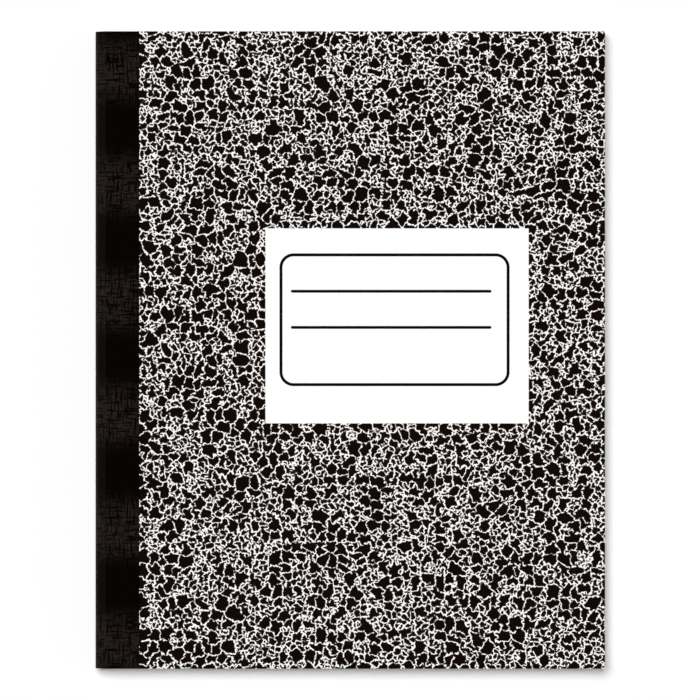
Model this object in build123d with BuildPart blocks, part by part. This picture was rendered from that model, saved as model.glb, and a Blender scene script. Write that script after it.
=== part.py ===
"""A sewn composition notebook with stiff marbled covers and a cloth tape spine.

The book lies closed on its back cover. +X runs from the spine to the fore edge, +Y from the tail to the
head, and +Z from the back cover to the front cover. The origin is under the middle of the book, on the
surface that it lies on. Units are millimetres.

Every layer is measured outwards from the middle plane of the page block, so the front and back halves
of the book mirror each other.
"""

import os
from math import acos, atan2, cos, hypot, pi, sin

from build123d import *

# Outline of the trimmed book: pages, covers and spine are cut flush on three sides
book_width = 203.2  # spine to fore edge
book_height = 254.0  # tail to head

# Layers, from the middle of the book outwards
leaf_count = 80  # 40 sheets folded once into one section
leaf_thickness = 0.09
endpaper_thickness = 0.15
board_thickness = 1.0
cover_paper_thickness = 0.15
tape_thickness = 0.25

# Spine
tape_reach = 17.6  # spine to the edge of the tape on either cover
board_setback = 4.35  # spine to the edge of either board, which is the width of the hinge

# Sewing through the fold, with a needle thread outside and a bobbin thread inside
thread_diameter = 0.5
thread_leg_diameter = 0.44  # pulled thinner where it passes through the paper
thread_clearance = 0.05  # round a thread in its hole or groove
stitch_length = 6.35

# Distances from the middle plane to the outside of each layer
block_half = leaf_count * leaf_thickness / 2
endpaper_out = block_half + endpaper_thickness
board_out = endpaper_out + board_thickness
cover_paper_out = board_out + cover_paper_thickness
tape_out = cover_paper_out + tape_thickness

middle_z = tape_out
spine_x = -book_width / 2
fore_x = book_width / 2
half_height = book_height / 2

# The nested sheets turn round the fold line. The endpaper and the tape wrap round them.
fold_x = spine_x + tape_thickness + endpaper_out
board_x = spine_x + board_setback
tape_edge_x = spine_x + tape_reach

# Stitches, spread evenly about the middle of the spine and kept one stitch in from head and tail
stitch_count = int(book_height / stitch_length) - 1
thread_radius = thread_diameter / 2
thread_hole_radius = thread_radius + thread_clearance
outer_run_x = fold_x - block_half + thread_radius
inner_run_x = fold_x
stitch_meet_x = (outer_run_x + inner_run_x) / 2

sides = {"front": 1, "back": -1}


def tangent_point(side):
    """Where the tape, coming down from a board's outer corner, first touches the wrapped endpaper."""
    corner_x = board_x - fold_x
    corner_angle = atan2(cover_paper_out, corner_x)
    touch_angle = corner_angle + acos(endpaper_out / hypot(corner_x, cover_paper_out))
    return (fold_x + endpaper_out * cos(touch_angle), middle_z + side * endpaper_out * sin(touch_angle))


def cover_sheet(inner, outer, side):
    """A flat sheet of one cover, from the hinge to the fore edge, between two distances from the middle."""
    with BuildPart() as sheet:
        with BuildSketch(Plane.XY.offset(middle_z + side * inner)):
            with Locations(((board_x + fore_x) / 2, 0)):
                Rectangle(fore_x - board_x, book_height)
        extrude(amount=side * (outer - inner))
    return sheet.part


def sewing_thread(run_x):
    """A run of thread along the whole fold, with a leg that goes half way through at each stitch."""
    with BuildPart() as thread:
        with BuildSketch(Plane.XZ):
            with Locations((run_x, middle_z)):
                Circle(thread_radius)
        extrude(amount=half_height, both=True)
        with BuildSketch(Plane.YZ.offset(run_x)):
            with Locations((0, middle_z)):
                with GridLocations(stitch_length, 0, stitch_count, 1):
                    Circle(thread_leg_diameter / 2)
        extrude(amount=stitch_meet_x - run_x)
    return thread.part


# Page block: the folded sheets as one solid, round at the fold and square at the fore edge
with BuildPart() as page_block:
    with BuildSketch(Plane.XZ):
        with BuildLine():
            CenterArc((fold_x, middle_z), block_half, start_angle=90, arc_size=180)
            Polyline(
                (fold_x, middle_z - block_half),
                (fore_x, middle_z - block_half),
                (fore_x, middle_z + block_half),
                (fold_x, middle_z + block_half),
            )
        make_face()
    extrude(amount=half_height, both=True)
    # Channels for the two runs of thread: the outer one is a groove open at the back of the fold
    with BuildSketch(Plane.XZ):
        with Locations((outer_run_x, middle_z), (inner_run_x, middle_z)):
            Circle(thread_hole_radius)
        with Locations((outer_run_x, middle_z)):
            Rectangle(thread_diameter, 2 * thread_hole_radius, align=(Align.MAX, Align.CENTER))
    extrude(amount=half_height, both=True, mode=Mode.SUBTRACT)
    # Needle holes through the fold
    with BuildSketch(Plane.YZ.offset(outer_run_x)):
        with Locations((0, middle_z)):
            with GridLocations(stitch_length, 0, stitch_count, 1):
                Circle(thread_leg_diameter / 2 + thread_clearance)
    extrude(amount=inner_run_x - outer_run_x, mode=Mode.SUBTRACT)
page_block.part.label = "page_block"
export_parts = [page_block.part]

# Sewing threads: each is a comb, and their legs meet in the middle of the fold
for thread_name, thread_run_x in {"needle_thread": outer_run_x, "bobbin_thread": inner_run_x}.items():
    strand = sewing_thread(thread_run_x)
    strand.label = thread_name
    export_parts.append(strand)

# Endpaper: one sheet wrapped round the block, with its halves pasted inside the two covers
with BuildPart() as endpaper:
    with BuildSketch(Plane.XZ):
        with BuildLine():
            Line((fore_x, middle_z + block_half), (fold_x, middle_z + block_half))
            CenterArc((fold_x, middle_z), block_half, start_angle=90, arc_size=180)
            Line((fold_x, middle_z - block_half), (fore_x, middle_z - block_half))
            offset(amount=endpaper_thickness, side=Side.RIGHT)
        make_face()
    extrude(amount=half_height, both=True)
endpaper.part.label = "endpaper"
export_parts.append(endpaper.part)

# Covers: a stiff board and, outside it, the marbled paper, both starting clear of the round spine
for side_name, direction in sides.items():
    board = cover_sheet(endpaper_out, board_out, direction)
    board.label = f"{side_name}_cover_board"
    marbled_paper = cover_sheet(board_out, cover_paper_out, direction)
    marbled_paper.label = f"{side_name}_cover_paper"
    export_parts += [board, marbled_paper]

# Spine tape: flat on each cover, bent at the board's edge, then straight down to the round of the fold
with BuildPart() as spine_tape:
    with BuildSketch(Plane.XZ):
        with BuildLine():
            Polyline(
                (tape_edge_x, middle_z + cover_paper_out),
                (board_x, middle_z + cover_paper_out),
                tangent_point(sides["front"]),
            )
            ThreePointArc(
                tangent_point(sides["front"]),
                (fold_x - endpaper_out, middle_z),
                tangent_point(sides["back"]),
            )
            Polyline(
                tangent_point(sides["back"]),
                (board_x, middle_z - cover_paper_out),
                (tape_edge_x, middle_z - cover_paper_out),
            )
            offset(amount=tape_thickness, side=Side.RIGHT)
        make_face()
    extrude(amount=half_height, both=True)
spine_tape.part.label = "spine_tape"
export_parts.append(spine_tape.part)

os.makedirs("parts", exist_ok=True)
for piece in export_parts:
    export_step(piece, f"parts/{piece.label}.step")
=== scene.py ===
"""The finished look of a sewn composition notebook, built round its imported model.

The book lies closed on its back cover. +X runs from the spine to the fore edge, +Y from the tail to the
head, and +Z from the back cover to the front cover. Lengths are in metres, except where a name ends in
_mm, and inside the materials, whose patterns work in millimetres.
"""

from math import acos, atan2, cos, hypot, pi, radians, sin

import bmesh
import bpy
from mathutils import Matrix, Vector


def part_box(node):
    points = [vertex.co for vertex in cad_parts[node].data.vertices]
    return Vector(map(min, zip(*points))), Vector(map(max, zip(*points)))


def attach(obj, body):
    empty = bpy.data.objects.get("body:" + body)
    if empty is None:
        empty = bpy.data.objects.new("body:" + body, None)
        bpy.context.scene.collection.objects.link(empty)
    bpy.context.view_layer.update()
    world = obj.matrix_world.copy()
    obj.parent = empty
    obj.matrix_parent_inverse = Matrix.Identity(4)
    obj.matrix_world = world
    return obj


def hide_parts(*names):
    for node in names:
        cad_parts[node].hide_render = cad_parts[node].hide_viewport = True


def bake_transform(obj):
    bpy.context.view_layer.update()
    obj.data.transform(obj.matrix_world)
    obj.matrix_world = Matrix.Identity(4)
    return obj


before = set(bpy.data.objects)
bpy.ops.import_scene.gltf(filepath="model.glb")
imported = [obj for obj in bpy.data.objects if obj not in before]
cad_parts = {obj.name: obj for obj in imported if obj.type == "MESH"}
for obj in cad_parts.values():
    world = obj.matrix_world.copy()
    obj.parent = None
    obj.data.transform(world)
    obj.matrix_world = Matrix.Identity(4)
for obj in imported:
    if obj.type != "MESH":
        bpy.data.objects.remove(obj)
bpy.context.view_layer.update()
MM = 0.001

# ------------------------------------------------------------------------------ sizes, from the imported model
block_low, block_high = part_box("page_block")
endpaper_low, endpaper_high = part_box("endpaper")
board_low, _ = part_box("front_cover_board")
_, paper_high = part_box("front_cover_paper")
_, tape_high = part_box("spine_tape")

middle_z = (block_low.z + block_high.z) / 2
block_half = block_high.z - middle_z
endpaper_out = endpaper_high.z - middle_z
cover_out = paper_high.z - middle_z
tape_thickness = tape_high.z - paper_high.z
board_x = board_low.x
fore_x = block_high.x
fold_x = endpaper_low.x + endpaper_out
tape_edge_x = tape_high.x
half_height = block_high.y

SHEETS = 40  # each folded once, so twice as many leaves
leaf_pitch = block_half / SHEETS
leaf_thickness = 0.84 * leaf_pitch  # the rest is the air between two leaves
FOLD_STEPS = 16  # flats in the round of each fold
page_height = 2 * (half_height - 0.02 * MM)  # a hair short, so that the threads' cut ends show

SIDES = {"front": 1, "back": -1}


# ------------------------------------------------------------------------------ building nodes
def linear(hex_colour):
    """A shader colour from an sRGB hex colour."""
    parts = [int(hex_colour[i : i + 2], 16) / 255 for i in (1, 3, 5)]
    return tuple(c / 12.92 if c <= 0.04045 else ((c + 0.055) / 1.055) ** 2.4 for c in parts) + (1.0,)


def add(tree, kind, inputs=(), **settings):
    """Adds a node with its settings. Inputs are a dict by socket name, or a list in the sockets' order.

    A value may be a number, a colour, a socket to link, or a node, whose first live output is linked.
    """
    node = tree.nodes.new(kind)
    for name, value in settings.items():
        setattr(node, name, value)
    live = [socket for socket in node.inputs if socket.enabled]
    if isinstance(inputs, dict):
        pairs = [(next(s for s in live if s.name == name), value) for name, value in inputs.items()]
    else:
        pairs = zip(live, inputs)
    for socket, value in pairs:
        if isinstance(value, bpy.types.Node):
            value = next(s for s in value.outputs if s.enabled)
        if isinstance(value, bpy.types.NodeSocket):
            tree.links.new(value, socket)
        else:
            socket.default_value = value
    return node


def new_material(name):
    """An empty material, its node tree, and the place on the piece in millimetres."""
    material = bpy.data.materials.new(name)
    material.use_nodes = True
    tree = material.node_tree
    tree.nodes.clear()
    on_piece = add(tree, "ShaderNodeTexCoord").outputs["Object"]
    place = add(tree, "ShaderNodeVectorMath", [on_piece, 1 / MM], operation="SCALE")
    return material, tree, place


# ------------------------------------------------------------------------------ marbled cover paper
# Sizes of the pigment islands of the marble print, in millimetres
FINE_CELL_MM = 1.35
MID_ISLAND_MM = 2.5
BIG_ISLAND_MM = 4.4
MID_SHARE = 0.94  # share of the mid islands that stayed whole
BIG_SHARE = 0.55
STIR_MM = ((3.0, 0.9, 2, 3.1), (1.0, 0.3, 1, 7.7))  # size, push, detail and start of each stirring
WANDER_MM = 2.2  # how far apart the veins swell and thin
BREAK_MM = 1.5  # how far apart they dwindle to nothing

# The label panel, printed in the marble: places and sizes in millimetres from the middle of the cover
PANEL_CENTRE = (18.75, 9.6)
PANEL_SIZE = (104.9, 77.7)
BORDER_CENTRE = (17.75, 12.05)
BORDER_SIZE = (90.5, 51.7)
BORDER_RADIUS = 5.0
BORDER_LINE = 1.2
RULE_CENTRES = ((16.4, 23.4), (16.4, 9.0))
RULE_SIZE = (79.9, 1.15)


def island_number(tree, cell):
    """A number that all the fine cells of one pigment island share."""
    number = add(tree, "ShaderNodeSeparateColor", [cell.outputs["Color"]])
    for rank, size, share in ((1, MID_ISLAND_MM, MID_SHARE), (2, BIG_ISLAND_MM, BIG_SHARE)):
        island = add(
            tree,
            "ShaderNodeTexVoronoi",
            {"Vector": cell.outputs["Position"], "Scale": 1 / size},
            voronoi_dimensions="2D",
        )
        lot = add(tree, "ShaderNodeSeparateColor", [island.outputs["Color"]])
        whole = add(tree, "ShaderNodeMath", [lot.outputs["Green"], share], operation="LESS_THAN")
        ranked = add(tree, "ShaderNodeMath", [lot.outputs["Red"], rank], operation="ADD")
        number = add(tree, "ShaderNodeMix", [whole, number, ranked], data_type="FLOAT")
    return number


def marble_veins(tree, place):
    """How white the marble print is: 0 in an island of black pigment, 1 in a vein between two."""
    stirred = place
    for size, push, detail, start in STIR_MM:
        moved = add(
            tree,
            "ShaderNodeMapping",
            {"Vector": stirred, "Location": (start, 0.7 * start, 0), "Scale": (1 / size,) * 3},
        )
        swirl = add(
            tree,
            "ShaderNodeTexNoise",
            {"Vector": moved, "Scale": 1.0, "Detail": detail, "Roughness": 0.6},
            noise_dimensions="2D",
        )
        stirred = add(
            tree,
            "ShaderNodeVectorMath",
            [swirl.outputs["Color"], (2 * push, 2 * push, 0), stirred],
            operation="MULTIPLY_ADD",
        )
    cells = [
        add(
            tree,
            "ShaderNodeTexVoronoi",
            {"Vector": stirred, "Scale": 1 / FINE_CELL_MM},
            voronoi_dimensions="2D",
            feature=feature,
        )
        for feature in ("F1", "F2")
    ]
    numbers = [island_number(tree, cell) for cell in cells]
    difference = add(tree, "ShaderNodeMath", numbers, operation="SUBTRACT")
    difference = add(tree, "ShaderNodeMath", [difference], operation="ABSOLUTE")
    between = add(tree, "ShaderNodeMath", [difference, 0.0001], operation="GREATER_THAN")

    # Distance to the vein's middle, from the distances to the two nearest cell centres
    squares = [
        add(tree, "ShaderNodeMath", [cell.outputs["Distance"], 2.0], operation="POWER") for cell in cells
    ]
    distance = add(tree, "ShaderNodeMath", [squares[1], squares[0]], operation="SUBTRACT")
    distance = add(tree, "ShaderNodeMath", [distance, FINE_CELL_MM**2 / 2], operation="MULTIPLY")
    apart = add(
        tree,
        "ShaderNodeVectorMath",
        [cell.outputs["Position"] for cell in cells],
        operation="DISTANCE",
    )
    distance = add(tree, "ShaderNodeMath", [distance, apart], operation="DIVIDE")

    # Half the vein's width: it swells where veins meet, wanders, and dwindles to nothing in places
    place_wander = add(
        tree,
        "ShaderNodeMapping",
        {"Vector": place, "Location": (11.0, 7.7, 0), "Scale": (1 / WANDER_MM,) * 3},
    )
    wander = add(
        tree,
        "ShaderNodeTexNoise",
        {"Vector": place_wander, "Scale": 1.0, "Detail": 2.0, "Roughness": 0.55},
        noise_dimensions="2D",
    )
    width = add(tree, "ShaderNodeMapRange", [wander, 0.35, 0.62, 0.21, 0.35])
    knot = add(tree, "ShaderNodeMapRange", [cells[0].outputs["Distance"], 0.45, 0.85, 0.0, 0.16])
    width = add(tree, "ShaderNodeMath", [width, knot], operation="ADD")
    loose = [add(tree, "ShaderNodeMath", [number, 1.0], operation="LESS_THAN") for number in numbers]
    foam = add(tree, "ShaderNodeMath", loose, operation="MULTIPLY")
    thinner = add(tree, "ShaderNodeMapRange", [foam, 0.0, 1.0, 1.0, 0.75])
    width = add(tree, "ShaderNodeMath", [width, thinner], operation="MULTIPLY")
    place_break = add(
        tree,
        "ShaderNodeMapping",
        {"Vector": place, "Location": (41.0, 28.7, 0), "Scale": (1 / BREAK_MM,) * 3},
    )
    breaks = add(
        tree,
        "ShaderNodeTexNoise",
        {"Vector": place_break, "Scale": 1.0, "Detail": 1.0, "Roughness": 0.5},
        noise_dimensions="2D",
    )
    dwindle = add(
        tree,
        "ShaderNodeMapRange",
        [breaks, 0.34, 0.44, -0.35, 0.0],
        interpolation_type="SMOOTHSTEP",
    )
    width = add(tree, "ShaderNodeMath", [width, dwindle], operation="ADD")
    inside = add(tree, "ShaderNodeMath", [width, distance], operation="SUBTRACT")
    vein = add(tree, "ShaderNodeMapRange", [inside, -0.045, 0.045], interpolation_type="SMOOTHSTEP")
    return add(tree, "ShaderNodeMath", [vein, between], operation="MULTIPLY")


def rounded_box_distance(tree, place, centre, size, radius):
    """Distance in millimetres to a rounded rectangle's outline, negative inside it."""
    offset = add(
        tree, "ShaderNodeVectorMath", [place, (-centre[0], -centre[1], 0)], operation="ADD"
    )
    offset = add(tree, "ShaderNodeVectorMath", [offset, (1, 1, 0)], operation="MULTIPLY")
    offset = add(tree, "ShaderNodeVectorMath", [offset], operation="ABSOLUTE")
    beyond = add(
        tree,
        "ShaderNodeVectorMath",
        [offset, (radius - size[0] / 2, radius - size[1] / 2, 0)],
        operation="ADD",
    )
    corner = add(tree, "ShaderNodeVectorMath", [beyond, (0, 0, 0)], operation="MAXIMUM")
    corner = add(tree, "ShaderNodeVectorMath", [corner], operation="LENGTH")
    sides = add(tree, "ShaderNodeSeparateXYZ", [beyond])
    side = add(tree, "ShaderNodeMath", [sides.outputs["X"], sides.outputs["Y"]], operation="MAXIMUM")
    side = add(tree, "ShaderNodeMath", [side, 0.0], operation="MINIMUM")
    distance = add(tree, "ShaderNodeMath", [corner, side], operation="ADD")
    return add(tree, "ShaderNodeMath", [distance, radius], operation="SUBTRACT")


def label_panel(tree, place):
    """Where the label's white panel is, and where its black lines are."""
    edge = 0.05
    panel = rounded_box_distance(tree, place, PANEL_CENTRE, PANEL_SIZE, 0.0)
    panel = add(tree, "ShaderNodeMapRange", [panel, edge, -edge])
    border = rounded_box_distance(tree, place, BORDER_CENTRE, BORDER_SIZE, BORDER_RADIUS)
    border = add(tree, "ShaderNodeMath", [border], operation="ABSOLUTE")
    ink = add(tree, "ShaderNodeMath", [border, BORDER_LINE / 2], operation="SUBTRACT")
    for centre in RULE_CENTRES:
        rule = rounded_box_distance(tree, place, centre, RULE_SIZE, RULE_SIZE[1] / 2)
        ink = add(tree, "ShaderNodeMath", [ink, rule], operation="MINIMUM")
    ink = add(tree, "ShaderNodeMapRange", [ink, edge, -edge])
    return panel, ink


def cut_edge(tree):
    """1 on the faces along a sheet's cut edges, 0 on its two sides."""
    normal = add(tree, "ShaderNodeTexCoord").outputs["Normal"]
    across = add(tree, "ShaderNodeSeparateXYZ", [normal])
    upright = add(tree, "ShaderNodeMath", [across.outputs["Z"]], operation="ABSOLUTE")
    return add(tree, "ShaderNodeMath", [upright, 0.5], operation="LESS_THAN")


def marbled_paper(name, labelled):
    """Varnished cover paper, offset printed: deep black and clean white, with a soft even shine."""
    material, tree, place = new_material(name)
    black, white, core = linear("#0E0603"), linear("#F6F1EF"), linear("#D9D6CF")
    veins = marble_veins(tree, place)
    print_colour = add(tree, "ShaderNodeMix", [veins, black, white], data_type="RGBA")
    if labelled:
        panel, ink = label_panel(tree, place)
        panel_colour = add(
            tree, "ShaderNodeMix", [ink, linear("#F9F9F8"), linear("#080605")], data_type="RGBA"
        )
        print_colour = add(
            tree, "ShaderNodeMix", [panel, print_colour, panel_colour], data_type="RGBA"
        )
    edge = cut_edge(tree)
    colour = add(tree, "ShaderNodeMix", [edge, print_colour, core], data_type="RGBA")
    # Paper fibres under the varnish, drawn at 0.6 mm because the real 0.05 mm ones are too fine to show
    fibres = add(
        tree,
        "ShaderNodeTexNoise",
        {"Vector": place, "Scale": 1 / 0.6, "Detail": 3.0, "Roughness": 0.6},
    )
    bump = add(
        tree, "ShaderNodeBump", {"Strength": 0.25, "Distance": 0.01 * MM, "Height": fibres}
    )
    gloss = add(tree, "ShaderNodeMapRange", [fibres, 0.3, 0.7, 0.42, 0.52])
    surface = add(
        tree,
        "ShaderNodeBsdfPrincipled",
        {
            "Base Color": colour,
            "Roughness": gloss,
            "IOR": 1.45,
            "Specular IOR Level": 0.25,
            "Normal": bump,
        },
    )
    add(tree, "ShaderNodeOutputMaterial", {"Surface": surface})
    return material


# ------------------------------------------------------------------------------ other materials
# The tape's painted sheen: the pitch of the bands along the spine where it is painted lighter, the middle
# of one band, and the size of an embossed ridge
SHEEN_BAND_PITCH_MM = 45.7
SHEEN_BAND_PEAK_MM = 111.5
RIDGE_LENGTH_MM = 7.0
RIDGE_WIDTH_MM = 0.8


def cloth_tape():
    """Coated bookcloth, embossed as linen: near black, with a low sheen, and painted sheen in bands along
    it.
    """
    material, tree, place = new_material("black_coated_bookcloth")
    along = add(tree, "ShaderNodeAttribute", attribute_name="cloth_run")
    on_cloth = along.outputs["Vector"]

    # Embossed threads: short ridges and furrows both ways
    ridges = []
    length, width = 1 / RIDGE_LENGTH_MM, 1 / RIDGE_WIDTH_MM
    for stretch, start in (((length, width, 1), 5.0), ((width, length, 1), 17.0)):
        drawn = add(
            tree,
            "ShaderNodeMapping",
            {"Vector": on_cloth, "Location": (start, start, 0), "Scale": stretch},
        )
        noise = add(
            tree,
            "ShaderNodeTexNoise",
            {"Vector": drawn, "Scale": 1.0, "Detail": 2.0, "Roughness": 0.6},
            noise_dimensions="2D",
        )
        ridges.append(
            add(
                tree,
                "ShaderNodeMapRange",
                [noise, 0.36, 0.52, 0.0, 1.0],
                interpolation_type="SMOOTHSTEP",
            )
        )
    linen = add(tree, "ShaderNodeMath", ridges, operation="MULTIPLY")
    # Weave under the coating, drawn at 0.45 mm because real 0.25 mm threads are too fine to show
    grain = add(
        tree,
        "ShaderNodeTexNoise",
        {"Vector": on_cloth, "Scale": 1 / 0.45, "Detail": 2.0, "Roughness": 0.7},
        noise_dimensions="2D",
    )
    grain = add(tree, "ShaderNodeMapRange", [grain, 0.35, 0.7])

    # Painted sheen: in bands along the spine the embossed ridges are painted lighter, as if they caught
    # the light
    runs = add(tree, "ShaderNodeSeparateXYZ", [on_cloth])
    phase = add(
        tree,
        "ShaderNodeMath",
        [runs.outputs["Y"], 2 * pi / SHEEN_BAND_PITCH_MM, -2 * pi * SHEEN_BAND_PEAK_MM / SHEEN_BAND_PITCH_MM],
        operation="MULTIPLY_ADD",
    )
    painted_sheen_band = add(tree, "ShaderNodeMath", [phase], operation="COSINE")
    painted_sheen_band = add(tree, "ShaderNodeMapRange", [painted_sheen_band, -0.7, 0.9], interpolation_type="SMOOTHSTEP")

    relief = add(tree, "ShaderNodeMath", [linen, grain], operation="MULTIPLY")
    relief = add(tree, "ShaderNodeMath", [relief, painted_sheen_band], operation="MULTIPLY")
    painted_sheen = add(tree, "ShaderNodeMapRange", [relief, 0.0, 0.8])
    # Painted sheen: the lighter colour is the tape's sheen on its ridges, painted into its colour
    colour = add(
        tree,
        "ShaderNodeMix",
        [painted_sheen, linear("#060403"), linear("#302825")],
        data_type="RGBA",
    )
    height = add(tree, "ShaderNodeMath", [linen, grain, 0.4], operation="MULTIPLY_ADD")
    bump = add(tree, "ShaderNodeBump", {"Strength": 0.6, "Distance": 0.06 * MM, "Height": height})
    surface = add(
        tree,
        "ShaderNodeBsdfPrincipled",
        {
            "Base Color": colour,
            "Roughness": 0.55,
            "IOR": 1.45,
            "Specular IOR Level": 0.06,
            "Normal": bump,
        },
    )
    add(tree, "ShaderNodeOutputMaterial", {"Surface": surface})
    return material


def grey_board():
    """Solid recycled board, guillotined: a warm grey core with flecks and the fine scores of the blade."""
    material, tree, place = new_material("grey_board")
    flecks = add(
        tree, "ShaderNodeTexNoise", {"Vector": place, "Scale": 1 / 0.5, "Detail": 3.0, "Roughness": 0.65}
    )
    drawn = add(tree, "ShaderNodeMapping", {"Vector": place, "Scale": (1 / 6, 1 / 6, 1 / 0.16)})
    plies = add(
        tree, "ShaderNodeTexNoise", {"Vector": drawn, "Scale": 1.0, "Detail": 2.0, "Roughness": 0.6}
    )
    mixed = add(tree, "ShaderNodeMath", [flecks, plies], operation="ADD")
    tone = add(tree, "ShaderNodeMapRange", [mixed, 0.75, 1.25])
    colour = add(
        tree,
        "ShaderNodeMix",
        [tone, linear("#7F7A72"), linear("#A8A398")],
        data_type="RGBA",
    )
    bump = add(tree, "ShaderNodeBump", {"Strength": 0.7, "Distance": 0.05 * MM, "Height": mixed})
    surface = add(
        tree,
        "ShaderNodeBsdfPrincipled",
        {"Base Color": colour, "Roughness": 0.9, "IOR": 1.45, "Normal": bump},
    )
    add(tree, "ShaderNodeOutputMaterial", {"Surface": surface})
    return material


RULING_MM = 8.7
HEAD_MARGIN_MM = 31.75
FOLD_MARGIN_MM = 31.75
LINE_EDGE_MM = (0.28, 0.1)  # from a ruled line's middle, where its ink begins and where it is full


def writing_paper():
    """Uncoated ruled writing paper: matt and bright, with pale blue lines and a red margin."""
    material, tree, place = new_material("ruled_writing_paper")
    parts = add(tree, "ShaderNodeSeparateXYZ", [place])
    # Ruled lines, from the head margin down
    first_line = half_height / MM - HEAD_MARGIN_MM
    down = add(tree, "ShaderNodeMath", [first_line, parts.outputs["Y"]], operation="SUBTRACT")
    nearest = add(tree, "ShaderNodeMath", [down, RULING_MM / 2], operation="PINGPONG")
    ruled = add(tree, "ShaderNodeMapRange", [nearest, *LINE_EDGE_MM])
    below = add(tree, "ShaderNodeMath", [down, -RULING_MM / 2], operation="GREATER_THAN")
    ruled = add(tree, "ShaderNodeMath", [ruled, below], operation="MULTIPLY")
    margin_x = fold_x / MM + FOLD_MARGIN_MM
    margin = add(tree, "ShaderNodeMath", [parts.outputs["X"], margin_x], operation="SUBTRACT")
    margin = add(tree, "ShaderNodeMath", [margin], operation="ABSOLUTE")
    margin = add(tree, "ShaderNodeMapRange", [margin, *LINE_EDGE_MM])
    edge = cut_edge(tree)
    face = add(tree, "ShaderNodeMath", [1.0, edge], operation="SUBTRACT")
    ruled = add(tree, "ShaderNodeMath", [ruled, face], operation="MULTIPLY")
    margin = add(tree, "ShaderNodeMath", [margin, face], operation="MULTIPLY")
    # Leaves differ a little in tone. Groups of four are drawn, because single 0.09 mm leaves are too fine
    drawn = add(
        tree,
        "ShaderNodeMapping",
        {"Vector": place, "Scale": (1 / 40, 1 / 40, MM / (4 * leaf_pitch))},
    )
    leaves = add(
        tree, "ShaderNodeTexNoise", {"Vector": drawn, "Scale": 1.0, "Detail": 3.0, "Roughness": 0.7}
    )
    tone = add(tree, "ShaderNodeMapRange", [leaves, 0.3, 0.7])
    edges = add(
        tree, "ShaderNodeMix", [tone, linear("#D2CFC6"), linear("#F3F1EA")], data_type="RGBA"
    )
    colour = add(tree, "ShaderNodeMix", [edge, linear("#F1F0EB"), edges], data_type="RGBA")
    colour = add(tree, "ShaderNodeMix", [ruled, colour, linear("#9DBBD6")], data_type="RGBA")
    colour = add(tree, "ShaderNodeMix", [margin, colour, linear("#DD8F93")], data_type="RGBA")
    fibres = add(
        tree, "ShaderNodeTexNoise", {"Vector": place, "Scale": 1 / 0.4, "Detail": 3.0, "Roughness": 0.6}
    )
    bump = add(tree, "ShaderNodeBump", {"Strength": 0.3, "Distance": 0.01 * MM, "Height": fibres})
    surface = add(
        tree,
        "ShaderNodeBsdfPrincipled",
        {"Base Color": colour, "Roughness": 0.85, "IOR": 1.45, "Normal": bump},
    )
    add(tree, "ShaderNodeOutputMaterial", {"Surface": surface})
    return material


def endpaper_stock():
    """Uncoated white cartridge paper, heavier than the pages: matt, faintly cloudy when lit across."""
    material, tree, place = new_material("cartridge_paper")
    clouds = add(
        tree, "ShaderNodeTexNoise", {"Vector": place, "Scale": 1 / 7.0, "Detail": 4.0, "Roughness": 0.6}
    )
    tone = add(tree, "ShaderNodeMapRange", [clouds, 0.3, 0.7])
    colour = add(
        tree, "ShaderNodeMix", [tone, linear("#EBE8E0"), linear("#EFEDE6")], data_type="RGBA"
    )
    fibres = add(
        tree, "ShaderNodeTexNoise", {"Vector": place, "Scale": 1 / 0.5, "Detail": 3.0, "Roughness": 0.6}
    )
    bump = add(tree, "ShaderNodeBump", {"Strength": 0.4, "Distance": 0.015 * MM, "Height": fibres})
    surface = add(
        tree,
        "ShaderNodeBsdfPrincipled",
        {"Base Color": colour, "Roughness": 0.88, "IOR": 1.45, "Normal": bump},
    )
    add(tree, "ShaderNodeOutputMaterial", {"Surface": surface})
    return material


def cotton_thread():
    """Two-ply cotton sewing thread: matt and off-white, with painted shade in the furrows where the plies
    meet.
    """
    material, tree, place = new_material("two_ply_cotton_thread")
    plies = add(
        tree,
        "ShaderNodeTexWave",
        {"Vector": place, "Scale": 1.0, "Distortion": 1.5, "Detail": 2.0},
        bands_direction="DIAGONAL",
    )
    # Painted shade: the darker colour lies in the furrows between the plies
    colour = add(
        tree, "ShaderNodeMix", [plies, linear("#BDB6A6"), linear("#E9E5DA")], data_type="RGBA"
    )
    bump = add(tree, "ShaderNodeBump", {"Strength": 0.6, "Distance": 0.05 * MM, "Height": plies})
    surface = add(
        tree,
        "ShaderNodeBsdfPrincipled",
        {"Base Color": colour, "Roughness": 0.9, "IOR": 1.45, "Normal": bump},
    )
    add(tree, "ShaderNodeOutputMaterial", {"Surface": surface})
    return material


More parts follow.
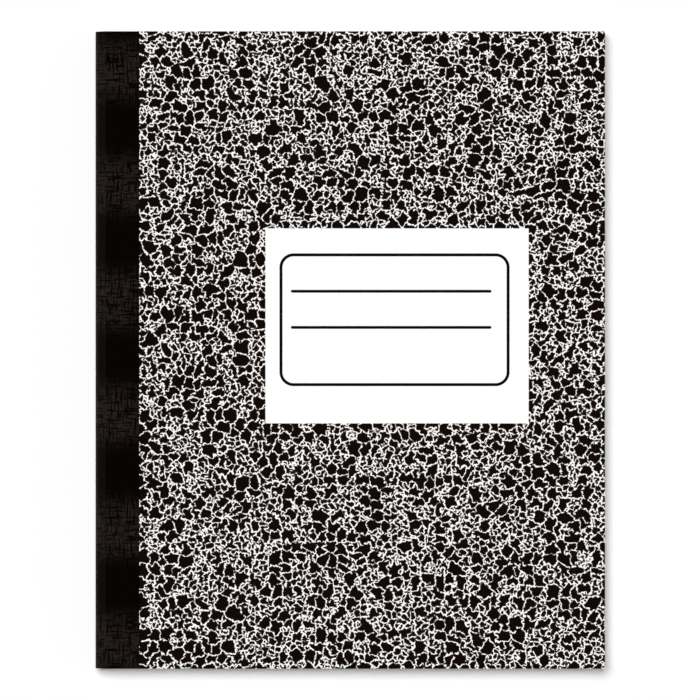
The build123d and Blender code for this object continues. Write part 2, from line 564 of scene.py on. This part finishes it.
# ------------------------------------------------------------------------------ page block
def folded_sheets_tree():
    """Geometry nodes for the section: sheets folded once, nested round the fold line."""
    tree = bpy.data.node_groups.new("folded_sheets", "GeometryNodeTree")
    sizes = {
        "Sheets": ("NodeSocketInt", SHEETS),
        "Fold steps": ("NodeSocketInt", FOLD_STEPS),
        "Leaf pitch": ("NodeSocketFloat", leaf_pitch),
        "Leaf thickness": ("NodeSocketFloat", leaf_thickness),
        "Fold x": ("NodeSocketFloat", fold_x),
        "Fore x": ("NodeSocketFloat", fore_x),
        "Middle z": ("NodeSocketFloat", middle_z),
        "Page height": ("NodeSocketFloat", page_height),
        "Trim wander": ("NodeSocketFloat", 0.08 * MM),
        "Seed": ("NodeSocketInt", 11),
        "Paper": ("NodeSocketMaterial", None),
    }
    for name, (kind, _) in sizes.items():
        tree.interface.new_socket(name, in_out="INPUT", socket_type=kind)
    tree.interface.new_socket("Sheets made", in_out="OUTPUT", socket_type="NodeSocketGeometry")
    given = tree.nodes.new("NodeGroupInput").outputs

    # One line of points for each sheet: two at the fore edge and the rest round the fold
    count = add(tree, "ShaderNodeMath", [given["Fold steps"], 3.0], operation="ADD")
    blank = add(tree, "GeometryNodeCurvePrimitiveLine")
    blank = add(tree, "GeometryNodeResampleCurve", {"Curve": blank, "Count": count})
    stack = add(tree, "GeometryNodeMeshLine", {"Count": given["Sheets"], "Offset": (0, 0, 0)})
    blanks = add(tree, "GeometryNodeInstanceOnPoints", {"Points": stack, "Instance": blank})
    blanks = add(tree, "GeometryNodeRealizeInstances", [blanks])

    # Which sheet a point is on, and how far round it
    index = add(tree, "GeometryNodeInputIndex")
    sheet = add(tree, "ShaderNodeMath", [index, count], operation="DIVIDE")
    sheet = add(tree, "ShaderNodeMath", [sheet], operation="FLOOR")
    step = add(tree, "ShaderNodeMath", [index, count], operation="MODULO")
    radius = add(tree, "ShaderNodeMath", [sheet, 0.5], operation="ADD")
    radius = add(tree, "ShaderNodeMath", [radius, given["Leaf pitch"]], operation="MULTIPLY")
    turn = add(tree, "ShaderNodeMath", [step, 1.0], operation="SUBTRACT")
    turn = add(
        tree, "ShaderNodeMath", [turn, given["Fold steps"]], operation="DIVIDE", use_clamp=True
    )
    turn = add(tree, "ShaderNodeMath", [turn, pi, pi / 2], operation="MULTIPLY_ADD")
    round_x = add(tree, "ShaderNodeMath", [turn], operation="COSINE")
    round_x = add(
        tree, "ShaderNodeMath", [round_x, radius, given["Fold x"]], operation="MULTIPLY_ADD"
    )
    round_z = add(tree, "ShaderNodeMath", [turn], operation="SINE")
    round_z = add(
        tree, "ShaderNodeMath", [round_z, radius, given["Middle z"]], operation="MULTIPLY_ADD"
    )

    # The trimmed fore edge, where no two leaves end quite alike
    wander = add(
        tree,
        "FunctionNodeRandomValue",
        {"Min": 0.0, "Max": given["Trim wander"], "ID": index, "Seed": given["Seed"]},
        data_type="FLOAT",
    )
    trimmed_x = add(tree, "ShaderNodeMath", [given["Fore x"], wander], operation="SUBTRACT")
    last = add(tree, "ShaderNodeMath", [count, 1.5], operation="SUBTRACT")
    at_head = add(tree, "ShaderNodeMath", [step, 0.5], operation="LESS_THAN")
    at_tail = add(tree, "ShaderNodeMath", [step, last], operation="GREATER_THAN")
    at_fore = add(tree, "ShaderNodeMath", [at_head, at_tail], operation="MAXIMUM")
    x = add(tree, "ShaderNodeMix", [at_fore, round_x, trimmed_x], data_type="FLOAT")
    place = add(tree, "ShaderNodeCombineXYZ", {"X": x, "Z": round_z})
    paths = add(tree, "GeometryNodeSetPosition", {"Geometry": blanks, "Position": place})

    # Each line becomes a sheet as thick as a leaf and as tall as the page
    section = add(
        tree,
        "GeometryNodeCurvePrimitiveQuadrilateral",
        {"Width": given["Page height"], "Height": given["Leaf thickness"]},
    )
    sheets = add(
        tree,
        "GeometryNodeCurveToMesh",
        {"Curve": paths, "Profile Curve": section, "Fill Caps": True},
    )
    sheets = add(tree, "GeometryNodeSetShadeSmooth", {"Geometry": sheets, "Shade Smooth": False})
    sheets = add(tree, "GeometryNodeRealizeInstances", [sheets])
    sheets = add(
        tree, "GeometryNodeSetMaterial", {"Geometry": sheets, "Material": given["Paper"]}
    )
    add(tree, "NodeGroupOutput", [sheets])
    return tree, sizes


def made_by_nodes(name, tree, sizes, material_input, material):
    """Runs a geometry node tree once, and returns its result as a plain mesh object."""
    host = bpy.data.objects.new("host", bpy.data.meshes.new("host"))
    bpy.context.scene.collection.objects.link(host)
    modifier = host.modifiers.new("nodes", "NODES")
    modifier.node_group = tree
    for socket in tree.interface.items_tree:
        if socket.in_out == "INPUT":
            chosen = material if socket.name == material_input else sizes[socket.name][1]
            modifier[socket.identifier] = chosen
    evaluated = host.evaluated_get(bpy.context.evaluated_depsgraph_get())
    mesh = bpy.data.meshes.new_from_object(evaluated)
    bpy.data.objects.remove(host)
    mesh.name = name
    piece = bpy.data.objects.new(name, mesh)
    bpy.context.scene.collection.objects.link(piece)
    return piece


# ------------------------------------------------------------------------------ wrapped sheets
def spread(start, end, steps):
    """Evenly spaced values after start, up to and with end."""
    return [start + (end - start) * (i + 1) / steps for i in range(steps)]


def endpaper_line(offset):
    """Points of the endpaper from the middle of the spine to the fore edge, offset outwards."""
    radius = block_half + offset
    points = [
        (fold_x + radius * cos(a), radius * sin(a)) for a in [pi] + spread(pi, pi / 2, 16)
    ]
    flat = spread(fold_x, endpaper_bend[0], 2) + spread(*endpaper_bend, 28) + [fore_x]
    return points + [(x, radius) for x in flat]


def tape_line(offset):
    """Points of the tape from the middle of the spine to its edge on the cover, offset outwards.

    It follows the round of the fold, runs straight up to the board's edge, turns there round a small
    bend, and lies flat on the cover.
    """
    corner = Vector((board_x - fold_x, cover_out))
    touch = atan2(corner.y, corner.x) + acos(endpaper_out / hypot(*corner))
    radius = endpaper_out + offset
    points = [
        (fold_x + radius * cos(a), radius * sin(a)) for a in [pi] + spread(pi, touch, 14)
    ]
    slope_normal = Vector((cos(touch), sin(touch)))
    flat_normal = Vector((0, 1))
    bend_centre = corner - tape_bend_radius * (slope_normal + flat_normal) / (
        1 + slope_normal.dot(flat_normal)
    )
    bend = tape_bend_radius + offset
    bend_points = [
        (fold_x + bend_centre.x + bend * cos(a), bend_centre.y + bend * sin(a))
        for a in [touch] + spread(touch, pi / 2, 10)
    ]
    start, end = Vector(points[-1]), Vector(bend_points[0])
    points += [tuple(start.lerp(end, t)) for t in spread(0, 1, 14)]
    points += bend_points[1:]
    flat_from = points[-1][0]
    flat = spread(flat_from, tape_bend_zone[1], 10) + spread(tape_bend_zone[1], tape_edge_x, 6)
    return points + [(x, cover_out + offset) for x in flat]


def wrapped_sheet(name, line, thickness, side, rows, material):
    """A closed sheet between a line and its offset, from tail to head, on one side of the book.

    Its attribute cloth_run holds, in millimetres, the way round the sheet and the place along the spine.
    """
    inner, outer = line(0.0), line(thickness)
    run = [0.0]
    for a, b in zip(outer, outer[1:]):
        run.append(run[-1] + (Vector(b) - Vector(a)).length)
    ring = list(zip(outer, run)) + list(zip(reversed(inner), reversed(run)))
    count = len(outer)
    mesh = bpy.data.meshes.new(name)
    bm = bmesh.new()
    layer = bm.verts.layers.float_vector.new("cloth_run")
    rings = []
    for row in range(rows + 1):
        y = -half_height + 2 * half_height * row / rows
        verts = []
        for (x, out), way in ring:
            vert = bm.verts.new((x, y, middle_z + side * out))
            vert[layer] = Vector((way / MM, y / MM, 0))
            verts.append(vert)
        rings.append(verts)
    for low, high in zip(rings, rings[1:]):
        for i in range(len(ring)):
            j = (i + 1) % len(ring)
            bm.faces.new((low[i], low[j], high[j], high[i]))
    for verts in (rings[0], rings[-1]):
        for i in range(count - 1):
            bm.faces.new((verts[i], verts[i + 1], verts[-i - 2], verts[-i - 1]))
    bmesh.ops.recalc_face_normals(bm, faces=bm.faces)
    for face in bm.faces:
        face.smooth = True
    bm.to_mesh(mesh)
    bm.free()
    mesh.set_sharp_from_angle(angle=radians(40))
    mesh.materials.append(material)
    piece = bpy.data.objects.new(name, mesh)
    bpy.context.scene.collection.objects.link(piece)
    return piece


# ------------------------------------------------------------------------------ the studio
def soft_light(name, toward, width, strength):
    """A broad light from far away, in a direction. It leaves no glare, as if seen through a polariser."""
    light = bpy.data.lights.new(name, "SUN")
    light.angle = width
    light.energy = strength
    holder = bpy.data.objects.new(name, light)
    holder.location = toward
    holder.rotation_euler = (-Vector(toward)).to_track_quat("-Z", "Y").to_euler()
    holder.visible_glossy = False
    bpy.context.scene.collection.objects.link(holder)


def studio():
    """A white floor, a soft light above and to the upper left, and a pale surround."""
    mesh = bpy.data.meshes.new("studio_floor")
    reach = 20.0
    corners = [(-reach, -reach, 0), (reach, -reach, 0), (reach, reach, 0), (-reach, reach, 0)]
    mesh.from_pydata(corners, [], [(0, 1, 2, 3)])
    floor = bpy.data.objects.new("studio_floor", mesh)
    bpy.context.scene.collection.objects.link(floor)
    material, tree, place = new_material("matt_white_floor")
    surface = add(
        tree,
        "ShaderNodeBsdfPrincipled",
        {"Base Color": linear("#F8F8F8"), "Roughness": 0.9, "Specular IOR Level": 0.1},
    )
    add(tree, "ShaderNodeOutputMaterial", {"Surface": surface})
    mesh.materials.append(material)

    soft_light("key_light", toward=(-0.165, 0.265, 1.0), width=radians(37), strength=3.2)

    world = bpy.data.worlds.new("surround")
    world.use_nodes = True
    bpy.context.scene.world = world
    tree = world.node_tree
    tree.nodes.clear()
    direction = add(tree, "ShaderNodeTexCoord").outputs["Generated"]
    parts = add(tree, "ShaderNodeSeparateXYZ", [direction])
    strength = add(
        tree,
        "ShaderNodeMapRange",
        [parts.outputs["Z"], 0.0, 0.6, 0.9, 0.02],
        interpolation_type="SMOOTHSTEP",
    )
    background = add(
        tree, "ShaderNodeBackground", {"Color": linear("#FFFFFF"), "Strength": strength}
    )
    add(tree, "ShaderNodeOutputWorld", {"Surface": background})


def camera():
    """A long lens straight above the book."""
    data = bpy.data.cameras.new("camera")
    data.lens = 300.0
    data.sensor_width = 36.0
    view_width = 278.9 * MM
    holder = bpy.data.objects.new("camera", data)
    distance = view_width * data.lens / data.sensor_width
    holder.location = (0, 0, tape_high.z + distance)
    bpy.context.scene.collection.objects.link(holder)
    bpy.context.scene.camera = holder


# ------------------------------------------------------------------------------ making the book
# Where each sheet turns at the front or back hinge, along X
endpaper_bend = (board_x - 0.05 * MM, board_x + 0.95 * MM)
tape_bend_zone = (board_x - 0.60 * MM, board_x + 0.60 * MM)
tape_bend_radius = 0.3 * MM

bpy.context.scene.view_settings.view_transform = "Standard"
camera()
studio()

finishes = {
    "front_cover_paper": marbled_paper("marbled_cover_paper_labelled", True),
    "back_cover_paper": marbled_paper("marbled_cover_paper", False),
    "front_cover_board": grey_board(),
    "needle_thread": cotton_thread(),
}
finishes["back_cover_board"] = finishes["front_cover_board"]
finishes["bobbin_thread"] = finishes["needle_thread"]
for node, material in finishes.items():
    node_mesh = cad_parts[node].data
    node_mesh.materials.clear()
    node_mesh.materials.append(material)

tree, sizes = folded_sheets_tree()
sheets = made_by_nodes("folded_sheets", tree, sizes, "Paper", writing_paper())
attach(sheets, "pages")
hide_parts("page_block")

cloth, cartridge = cloth_tape(), endpaper_stock()
for side_name, side in SIDES.items():
    tape = wrapped_sheet(f"{side_name}_tape_half", tape_line, tape_thickness, side, 60, cloth)
    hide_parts("spine_tape")
    endpaper = wrapped_sheet(
        f"{side_name}_endpaper_half", endpaper_line, endpaper_out - block_half, side, 1, cartridge
    )
    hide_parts("endpaper")
    for sheet, (near, far) in ((tape, tape_bend_zone), (endpaper, endpaper_bend)):
        if side_name == "front":
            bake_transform(sheet)
        else:
            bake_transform(sheet)
